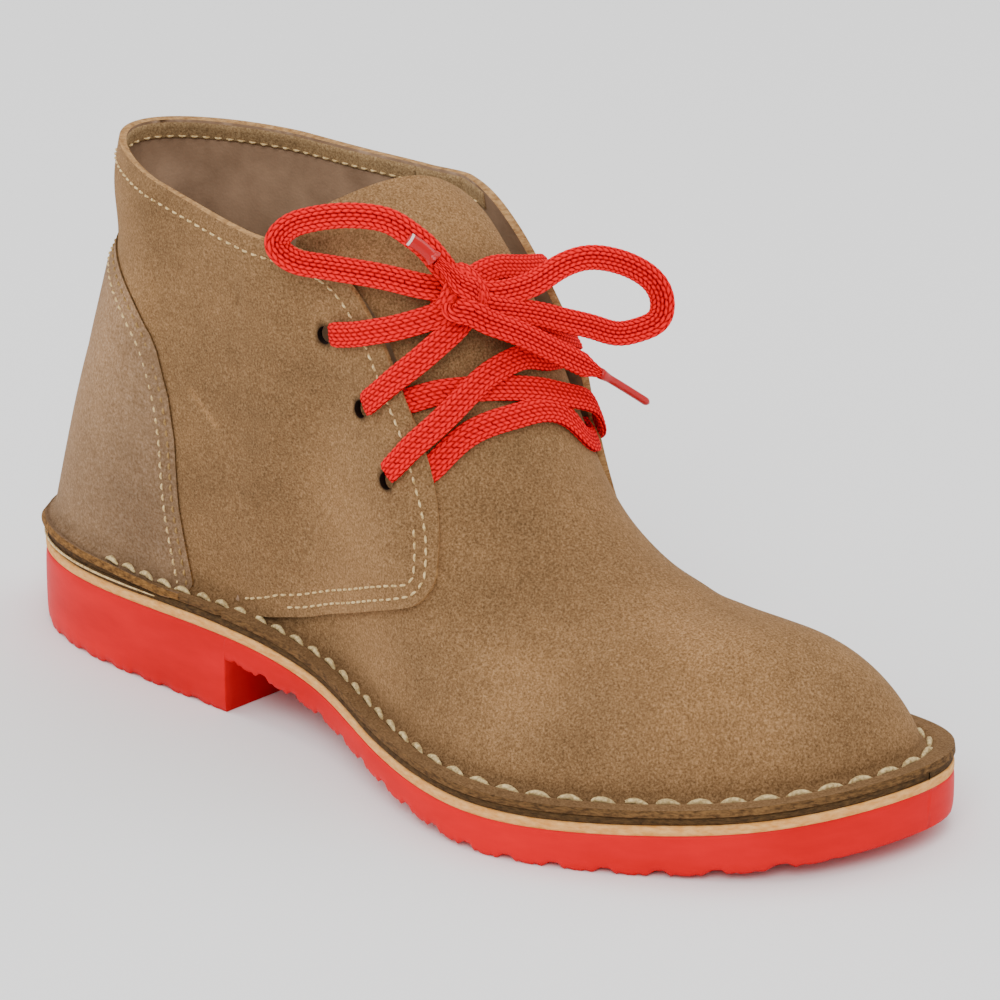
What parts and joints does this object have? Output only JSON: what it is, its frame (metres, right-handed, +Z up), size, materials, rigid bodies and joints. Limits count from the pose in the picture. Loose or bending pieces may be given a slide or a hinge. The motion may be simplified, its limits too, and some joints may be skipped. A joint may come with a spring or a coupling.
{
  "type": "chukka boot",
  "caption": "Low ankle boot in tan suede with stitched-down uppers, a flat braided lace tied in a bow, layered welt and a red rubber sole with a block heel, for the right foot.",
  "frame": {"origin": "on the ground under the middle of the sole's outline", "axes": "+X towards the toe, +Y towards the wearer's left (the inner side of this right shoe), +Z up"},
  "size_m": [0.2724, 0.1066, 0.144],
  "materials": {
    "suede": "matte napped suede",
    "rubber": "satin moulded rubber",
    "midsole": "smooth cut leather edge",
    "runner": "dark raw leather edge",
    "insole": "smooth leather",
    "lace": "matte braid",
    "aglet": "clear gloss sleeve over the braid"
  },
  "bodies": {
    "root": {"outsole": "rubber", "midsole": "midsole", "runner": "runner", "insole": "insole", "upper": "suede", "tongue": "suede", "lace_lower": "lace", "lace_upper": "lace", "lace_knot": "lace", "bow_loop_outer": "lace", "bow_loop_inner": "lace", "lace_end_outer": "lace", "lace_end_inner": "lace", "aglet_outer": "aglet", "aglet_inner": "aglet"}
  },
  "joints": []
}
